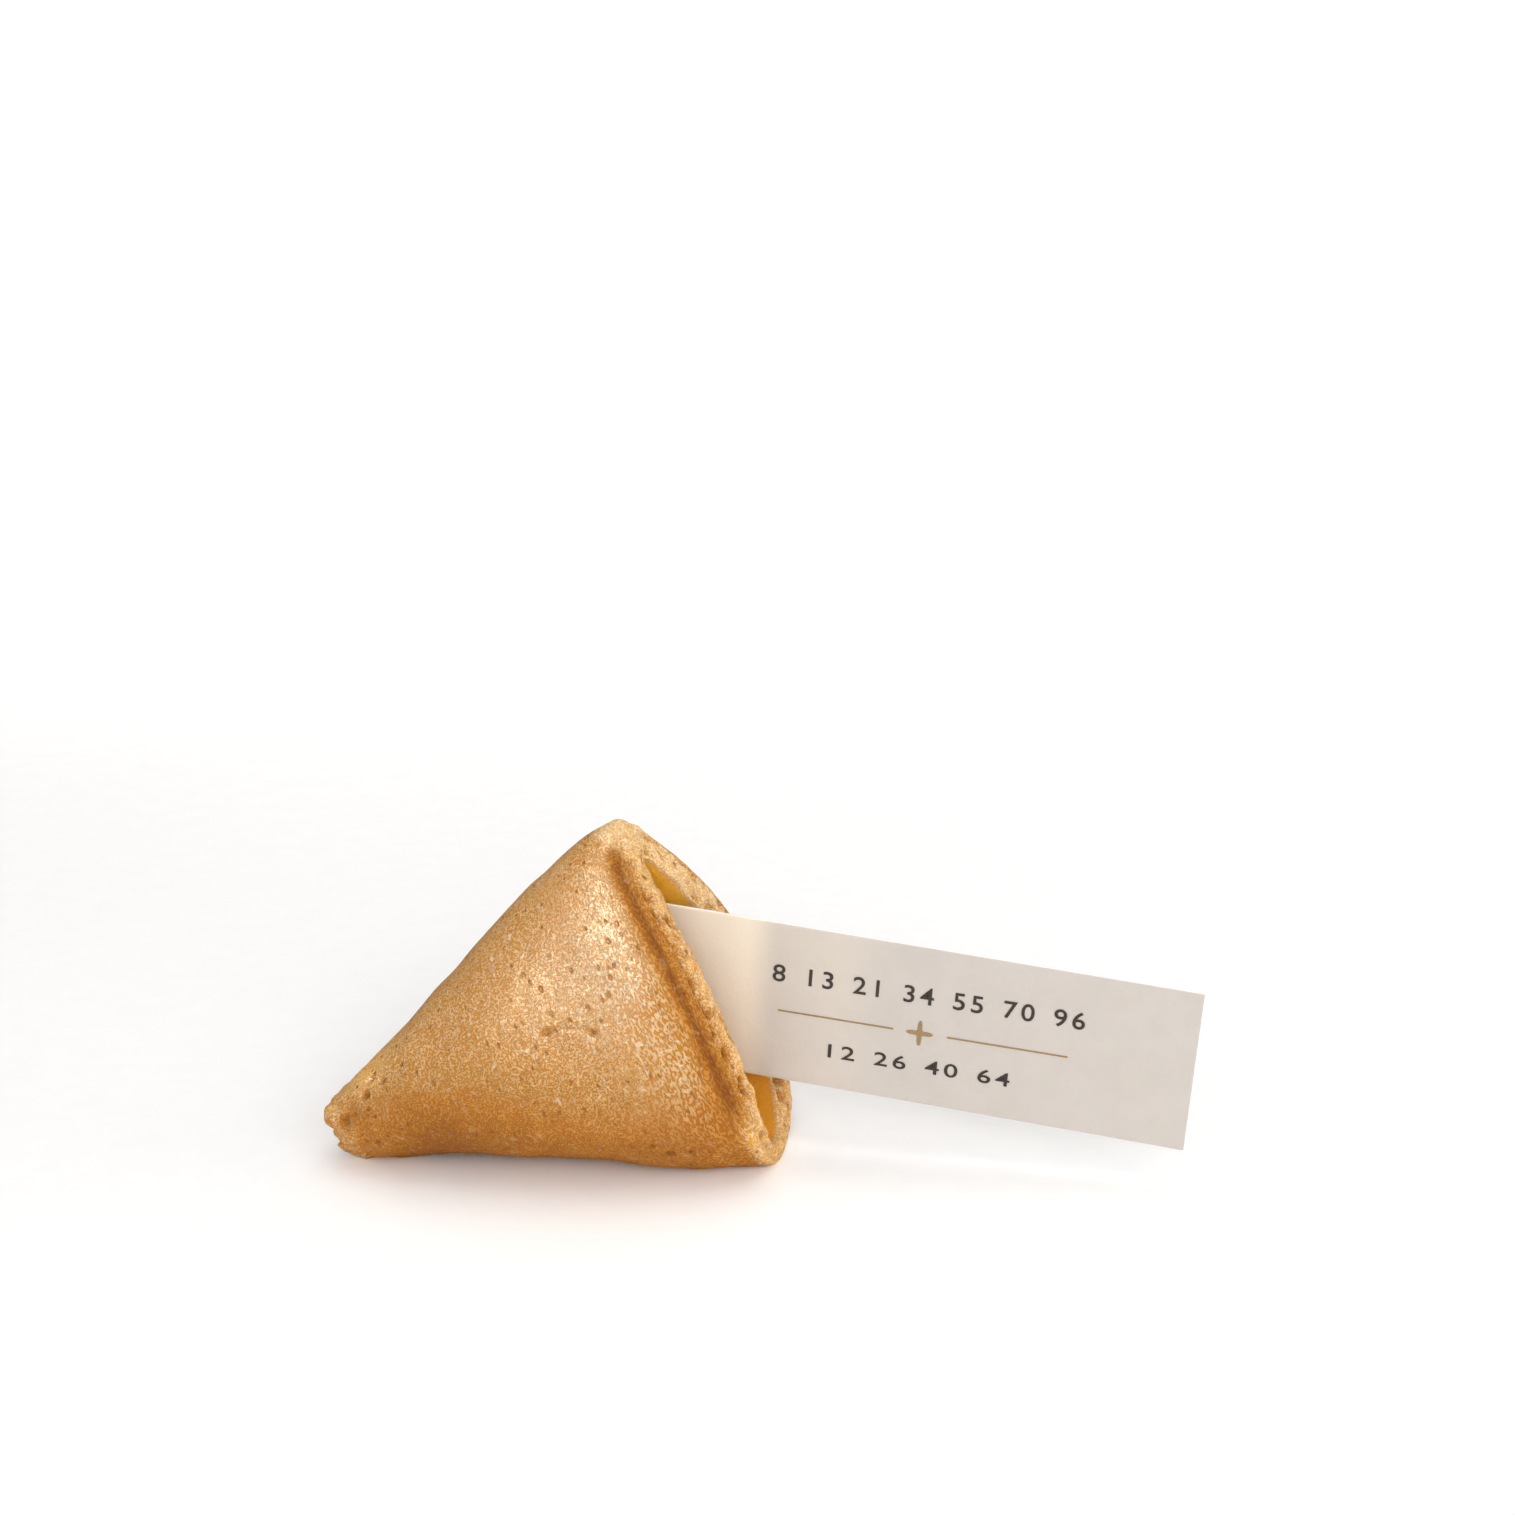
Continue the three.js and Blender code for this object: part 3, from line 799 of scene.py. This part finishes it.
def figure_outlines(name, text):
    """Flat points and triangles of a row of figures in the plain built-in letters."""
    curve = bpy.data.curves.new(name, "FONT")
    curve.body = text
    curve.space_character = 1.25
    curve.space_word = 1.3
    curve.resolution_u = 4
    curve.offset = 0.008
    holder = bpy.data.objects.new(name + "_outline", curve)
    bpy.context.scene.collection.objects.link(holder)
    bpy.context.view_layer.update()
    mesh = bpy.data.meshes.new_from_object(holder)
    mesh.calc_loop_triangles()
    flat = np.zeros(len(mesh.vertices) * 3)
    mesh.vertices.foreach_get("co", flat)
    faces = np.zeros(len(mesh.loop_triangles) * 3, np.int32)
    mesh.loop_triangles.foreach_get("vertices", faces)
    bpy.data.objects.remove(holder)
    bpy.data.curves.remove(curve)
    bpy.data.meshes.remove(mesh)
    merged, where = np.unique(flat.reshape(-1, 3)[:, :2].round(6), axis=0, return_inverse=True)
    return merged, where.reshape(-1)[faces.reshape(-1, 3)]


def number_line(name, text, left, right, foot, height, material):
    """A row of numbers set between left and right (distances back from the free end) on the line
    foot, with figures of that height."""
    outline, faces = figure_outlines(name, text)
    low, high = outline.min(axis=0), outline.max(axis=0)
    x, y = ((outline - low) / (high - low)).T
    placed = np.stack([left + (right - left) * x, foot + height * y], -1)
    corner = placed[faces]
    turn = np.cross(corner[:, 1] - corner[:, 0], corner[:, 2] - corner[:, 0])
    faces = np.where((turn > 0)[:, None], faces[:, ::-1], faces)
    return printed_mesh(name, placed, faces[np.abs(turn) > 1e-9], material)


def thin_rule(name, left, right, foot, thick, material):
    """A straight printed line of that thickness: a flat strip of points along its length."""
    s = np.linspace(left, right, RULE_POINTS)
    placed = np.concatenate([np.stack([s, 0 * s + foot], -1), np.stack([s, 0 * s + foot + thick], -1)])
    k = np.arange(RULE_POINTS - 1)
    above = k + RULE_POINTS
    faces = np.concatenate([np.stack([k, above, above + 1], -1), np.stack([k, above + 1, k + 1], -1)])
    return printed_mesh(name, placed, faces, material)


def small_star(name, middle, centre, reach, material):
    """A four-pointed figure with hollow sides: radius = reach * (0.3 + 0.7 |cos(2 angle)|^5)."""
    angle = np.linspace(0, 2 * np.pi, STAR_POINTS + 1)[:-1]
    radius = reach * (0.3 + 0.7 * np.abs(np.cos(2 * angle)) ** 5)
    ring = np.stack([middle + radius * np.cos(angle), centre + radius * np.sin(angle)], -1)
    placed = np.concatenate([[[middle, centre]], ring])
    k = np.arange(STAR_POINTS)
    faces = np.stack([0 * k, 1 + (k + 1) % STAR_POINTS, 1 + k], -1)
    return printed_mesh(name, placed, faces, material)


# ======================================================================== materials


class Surface:
    """A material's node tree with short ways to add nodes and links."""

    def __init__(self, name):
        self.material = bpy.data.materials.new(name)
        self.material.use_nodes = True
        self.tree = self.material.node_tree
        self.shader = self.tree.nodes["Principled BSDF"]
        self.place = self.add("ShaderNodeTexCoord").outputs["Object"]

    def add(self, kind, **values):
        node = self.tree.nodes.new(kind)
        for key, value in values.items():
            setattr(node, key, value)
        return node

    def link(self, source, target):
        self.tree.links.new(source, target)

    def fill(self, socket, value):
        """A number, a colour or another node's output goes into a socket."""
        if isinstance(value, bpy.types.NodeSocket):
            self.link(value, socket)
        else:
            socket.default_value = value

    def stretched(self, turn, scale):
        """The place, measured along turned axes and divided by a scale for each axis."""
        node = self.add("ShaderNodeMapping", vector_type="TEXTURE")
        self.link(self.place, node.inputs["Vector"])
        node.inputs["Rotation"].default_value = turn
        node.inputs["Scale"].default_value = scale
        return node.outputs["Vector"]

    def spots(self, size, detail=2.0, roughness=0.5, distortion=0.0, place=None):
        """Cloudy noise, 0 to 1, with features of that size in millimetres."""
        node = self.add("ShaderNodeTexNoise", noise_type="FBM", normalize=True)
        self.link(place or self.place, node.inputs["Vector"])
        node.inputs["Scale"].default_value = 1 / (size * MM)
        node.inputs["Detail"].default_value = detail
        node.inputs["Roughness"].default_value = roughness
        node.inputs["Distortion"].default_value = distortion
        return node.outputs["Fac"]

    def line(self, value, width):
        """1 where the value is 0.5, falling to 0 at that distance from it: winding lines."""
        away = self.maths("ABSOLUTE", self.maths("SUBTRACT", value, 0.5), 0.0)
        return self.remap(away, 0.0, width, 1.0, 0.0)

    def dots(self, spacing, reach, share, place):
        """Round spots in that share of the cells of a random pattern."""
        node = self.add("ShaderNodeTexVoronoi", feature="F1", distance="EUCLIDEAN")
        self.link(place, node.inputs["Vector"])
        node.inputs["Scale"].default_value = 1 / (spacing * MM)
        split = self.add("ShaderNodeSeparateColor")
        self.link(node.outputs["Color"], split.inputs["Color"])
        spot = self.remap(node.outputs["Distance"], reach * 0.35, reach, 1.0, 0.0)
        return self.maths("MULTIPLY", spot, self.maths("LESS_THAN", split.outputs["Red"], share))

    def remap(self, value, low, high, to_low=0.0, to_high=1.0):
        """A smooth step from to_low to to_high while the value goes from low to high."""
        node = self.add("ShaderNodeMapRange", interpolation_type="SMOOTHSTEP")
        self.link(value, node.inputs["Value"])
        ends = {"From Min": low, "From Max": high, "To Min": to_low, "To Max": to_high}
        for key, number in ends.items():
            node.inputs[key].default_value = number
        return node.outputs["Result"]

    def maths(self, how, first, second):
        node = self.add("ShaderNodeMath", operation=how)
        self.fill(node.inputs[0], first)
        self.fill(node.inputs[1], second)
        return node.outputs["Value"]

    def blend(self, share, first, second):
        node = self.add("ShaderNodeMix", data_type="RGBA", blend_type="MIX", clamp_factor=True)
        self.fill(node.inputs["Factor"], share)
        self.fill(node.inputs["A"], first)
        self.fill(node.inputs["B"], second)
        return node.outputs["Result"]

    def ramp(self, value, steps):
        """The colours of a tone table, blended evenly between its places."""
        node = self.add("ShaderNodeValToRGB")
        band = node.color_ramp
        band.elements[0].position, band.elements[0].color = steps[0][0], (*steps[0][1], 1)
        band.elements[1].position, band.elements[1].color = steps[-1][0], (*steps[-1][1], 1)
        for place, colour in steps[1:-1]:
            band.elements.new(place).color = (*colour, 1)
        self.link(value, node.inputs["Fac"])
        return node.outputs["Color"]

    def number(self, name):
        """A number that the mesh carries at each point."""
        return self.add("ShaderNodeAttribute", attribute_name=name).outputs["Fac"]

    def relief(self, height, millimetres, under=None):
        node = self.add("ShaderNodeBump")
        node.inputs["Strength"].default_value = 1.0
        node.inputs["Distance"].default_value = millimetres * MM
        self.link(height, node.inputs["Height"])
        if under is not None:
            self.link(under, node.inputs["Normal"])
        return node.outputs["Normal"]


def baked_wafer():
    """Golden baked batter. The baked colour, painted shade and painted highlight of each point set the
    colour of the ground and of the net of fine pale strokes that stands on it, which is drawn out along
    the broken edge near it. The net is the crust's grain, and its paler ridges are painted glints.
    Longer single strokes, painted glints too, and small darker pinholes, painted shade in them, are
    strewn over both. Broken crumb is creamier, painted highlight patches have paler strokes, and the
    inside of the hollow is painted a brighter, deeper golden yellow, as painted glow of light through
    the wall and bounce inside it."""
    s = Surface("baked_wafer")
    browning_and_painted_light = s.number("browning_and_painted_light")
    crumb = s.number("crumb")
    inner = s.number("inner")
    along_lip = s.stretched((0, math.radians(-26), 0), (1, 1, 2.6))
    # the net of the crust's grain; its ridges take the lighter colours, as painted glints
    even = s.remap(s.spots(0.155, 0.0, 0.5, 0.8), 0.43, 0.57)
    drawn = s.remap(s.spots(0.16, 0.0, 0.5, 0.6, place=along_lip), 0.43, 0.57)
    net = s.blend(s.number("beside_lip"), even, drawn)
    strokes = s.line(s.spots(1.0, 1.0, 0.5, 0.5, place=along_lip), 0.031)
    strokes = s.maths("MULTIPLY", strokes, s.remap(s.spots(0.8, 1.0), 0.5, 0.56))
    strokes = s.maths("MULTIPLY", strokes, s.remap(browning_and_painted_light, 0.5, 0.7, 1.0, 0.3))
    strokes = s.maths("MULTIPLY", strokes, 0.8)
    hole = s.maths("MAXIMUM", s.dots(0.9, 0.21, 0.8, along_lip), s.dots(1.8, 0.14, 1.0, along_lip))
    hole = s.maths("MULTIPLY", hole, s.maths("SUBTRACT", 1.0, inner))

    mottle = s.maths("MULTIPLY", s.maths("SUBTRACT", s.spots(1.8, 3, 0.5), 0.5), 0.15)
    tone = s.maths("ADD", browning_and_painted_light, mottle)
    dry = s.maths("MULTIPLY", crumb, 0.85)
    ground = s.blend(dry, s.ramp(tone, GROUND_TONES), CRUMB_GROUND)
    raised = s.blend(dry, s.ramp(tone, RAISED_TONES), CRUMB_RAISED)
    # the ridges are paler in the painted highlight patches
    raised = s.blend(s.number("pale"), raised, HIGHLIGHT_RAISED)
    colour = s.blend(net, ground, raised)
    # the longer strokes are painted glints
    colour = s.blend(strokes, colour, s.blend(0.6, raised, STROKE_GLINT))
    # painted glow and bounce light: the lining's brighter golden colour
    colour = s.blend(inner, colour, s.ramp(tone, LINING_GLOW_TONES))
    # painted shade in the sunk pinholes
    colour = s.blend(s.maths("MULTIPLY", hole, 0.8), colour, PINHOLE_SHADE)
    s.link(colour, s.shader.inputs["Base Color"])

    height = s.maths("SUBTRACT", s.maths("ADD", net, strokes), s.maths("MULTIPLY", hole, 1.2))
    s.link(s.relief(height, 0.07), s.shader.inputs["Normal"])
    satin = s.remap(s.spots(1.1, 3), 0.3, 0.7, 0.40, 0.46)
    rough = s.maths("ADD", satin, s.remap(browning_and_painted_light, 0.45, 0.75, 0.0, 0.55))
    s.link(s.maths("ADD", rough, s.maths("MULTIPLY", crumb, 0.2)), s.shader.inputs["Roughness"])
    s.shader.inputs["Specular IOR Level"].default_value = 0.3
    s.shader.inputs["Specular Tint"].default_value = (1.0, 0.86, 0.62, 1)
    s.shader.inputs["Subsurface Weight"].default_value = 0.07
    s.shader.inputs["Subsurface Radius"].default_value = (1.0, 0.45, 0.16)
    s.shader.inputs["Subsurface Scale"].default_value = 0.6 * MM
    return s.material


def uncoated_card():
    """Warm off-white card: short fibres in the surface, a faint cloudiness and no gloss. The cut edge
    is whiter, and the end that stands in the cookie is painted warmer and lighter, as painted bounce
    light from the cookie."""
    s = Surface("uncoated_card")
    clouds = s.remap(s.spots(3.0, 4), 0.3, 0.7)
    fibre = s.spots(0.3, 4, 0.7, 1.2)
    colour = s.blend(clouds, *CARD)
    colour = s.blend(s.remap(fibre, 0.25, 0.75, 0.0, 0.25), colour, CARD_FIBRE)
    inside = s.number("inside")
    # painted bounce light towards the end in the cookie
    painted_bounce = s.maths("ADD", s.remap(inside, 0.5, 0.65, 0.0, 0.2), s.remap(inside, 0.735, 0.80, 0.0, 0.72))
    colour = s.blend(painted_bounce, colour, CARD_BOUNCE_LIGHT)
    colour = s.blend(s.number("cut"), colour, CARD_CUT)
    s.link(colour, s.shader.inputs["Base Color"])
    s.link(s.remap(fibre, 0.2, 0.8, 0.8, 0.92), s.shader.inputs["Roughness"])
    s.link(s.relief(fibre, 0.035, s.relief(s.spots(0.9, 3), 0.03)), s.shader.inputs["Normal"])
    s.shader.inputs["Specular IOR Level"].default_value = 0.3
    return s.material


def printing_ink(name, colours):
    """Flat printed ink that sinks a little into the fibres."""
    s = Surface(name)
    worn = s.remap(s.spots(0.12, 3, 0.7), 0.35, 0.75)
    s.link(s.blend(worn, *colours), s.shader.inputs["Base Color"])
    s.link(s.relief(worn, 0.01), s.shader.inputs["Normal"])
    s.shader.inputs["Roughness"].default_value = 0.7
    s.shader.inputs["Specular IOR Level"].default_value = 0.3
    return s.material


def pale_floor():
    """Plain white table."""
    s = Surface("pale_floor")
    s.link(s.blend(s.remap(s.spots(3.0, 3), 0.3, 0.7), *FLOOR), s.shader.inputs["Base Color"])
    s.shader.inputs["Roughness"].default_value = 0.8
    return s.material


# ======================================================================== build


def place_piece(piece, slot, *nodes):
    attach(piece, "root")
    if nodes:
        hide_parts(*nodes)


def add_print():
    """Two rows of numbers, with a rule, a small star and a rule between them."""
    dark = printing_ink("dark_brown_ink", DARK_INK)
    bronze = printing_ink("bronze_ink", BRONZE_INK)
    place_piece(number_line("upper_numbers", "8 13 21 34 55 70 96", 38.4, 10.0, 9.85, 1.7, dark), "ink")
    place_piece(number_line("lower_numbers", "12 26 40 64", 32.8, 16.1, 3.13, 1.35, dark), "ink")
    place_piece(thin_rule("left_rule", 37.7, 27.0, 6.95, 0.15, bronze), "ink")
    place_piece(thin_rule("right_rule", 22.1, 11.2, 6.95, 0.15, bronze), "ink")
    place_piece(small_star("centre_star", 24.6, 7.0, 1.25, bronze), "ink")


place_piece(cookie_shell(baked_wafer()), "crust", "cookie")
place_piece(paper_slip(uncoated_card()), "paper", "slip")
add_print()


# ======================================================================== stage, light and camera


def swept_plane(name, profile, wide, material):
    """A ruled sheet: a row of points across for each (y, z) of the profile."""
    x = np.linspace(-wide, wide, 12)
    points = np.stack(np.broadcast_arrays(x[None, :], profile[:, :1], profile[:, 1:]), -1)
    rows, columns = points.shape[:2]
    number = np.arange(rows * columns).reshape(rows, columns)
    quads = np.stack([number[:-1, :-1], number[:-1, 1:], number[1:, 1:], number[1:, :-1]], -1)
    sheet = make_object(name, points.reshape(-1, 3), quads.reshape(-1, 4), material)
    sheet.visible_glossy = False
    return sheet


def add_stage():
    """A table, and behind it a wall that rises in a quarter circle and sends no light back."""
    floor = pale_floor()
    swept_plane("pale_table", np.stack([np.linspace(-900, 500, 30), np.zeros(30)], -1), 1600, floor)
    turn = np.linspace(0, np.pi / 2, 24)
    bend = np.stack([500 + 300 * np.sin(turn), 300 - 300 * np.cos(turn)], -1)
    upright = np.stack([np.full(6, 800), np.linspace(300, 1200, 7)[1:]], -1)
    wall = swept_plane("pale_wall", np.concatenate([bend, upright]), 1600, floor)
    wall.visible_diffuse = False


def add_light(name, place, aim, size, power, diffuse=True, glossy=True, spread=180):
    """A rectangular softbox. It may light the colours only, or the sheen only."""
    light = bpy.data.lights.new(name, "AREA")
    light.shape = "RECTANGLE"
    light.size, light.size_y = size[0] * MM, size[1] * MM
    light.energy = power
    light.spread = math.radians(spread)
    lamp = bpy.data.objects.new(name, light)
    lamp.location = Vector(place) * MM
    lamp.rotation_euler = (Vector(aim) - Vector(place)).to_track_quat("-Z", "Y").to_euler()
    lamp.visible_diffuse = diffuse
    lamp.visible_glossy = glossy
    bpy.context.scene.collection.objects.link(lamp)


def add_world(strength):
    """Even pale light from all round, which isn't seen in the sheen."""
    world = bpy.data.worlds.new("soft_room")
    bpy.context.scene.world = world
    world.use_nodes = True
    sky = world.node_tree.nodes["Background"]
    sky.inputs["Color"].default_value = (1.0, 0.99, 0.975, 1)
    sky.inputs["Strength"].default_value = strength
    world.cycles_visibility.glossy = False


def add_camera():
    """A 50 mm lens that looks down by 19.6 degrees."""
    camera = bpy.data.cameras.new("camera")
    camera.lens = 50
    camera.sensor_width = 36
    camera.clip_start = 0.01
    camera.clip_end = 10
    holder = bpy.data.objects.new("camera", camera)
    holder.location = Vector((-0.089, -172.849, 100.0)) * MM
    holder.rotation_euler = (math.radians(90 - 19.6), 0, 0)
    bpy.context.scene.collection.objects.link(holder)
    bpy.context.scene.camera = holder


add_stage()
add_world(0.42)
add_light("key_softbox", (260, -300, 260), (-5, 0, 12), (260, 240), 0.55, glossy=False)
add_light("top_softbox", (40, 60, 480), (0, 0, 0), (520, 420), 1.0, glossy=False)
add_light("front_softbox", (60, -430, 230), (0, 0, 12), (220, 160), 0.52, glossy=False)
add_light("gloss_softbox", (-118, -322, 265), (-12, 0, 15), (120, 100), 8.4, diffuse=False)
add_light("low_softbox", (0, -420, 40), (0, 0, 10), (220, 60), 0.2, glossy=False)
add_light("left_fill", (-430, -60, 220), (0, 0, 12), (260, 260), 0.28, glossy=False)
add_light("right_fill", (430, -20, 160), (0, 0, 12), (260, 260), 0.45, glossy=False)
add_light("backdrop_light", (0, 250, 900), (0, 800, 500), (1500, 300), 20, glossy=False, spread=130)
add_camera()
bpy.context.scene.view_settings.view_transform = "Standard"
bpy.context.scene.view_settings.look = "None"
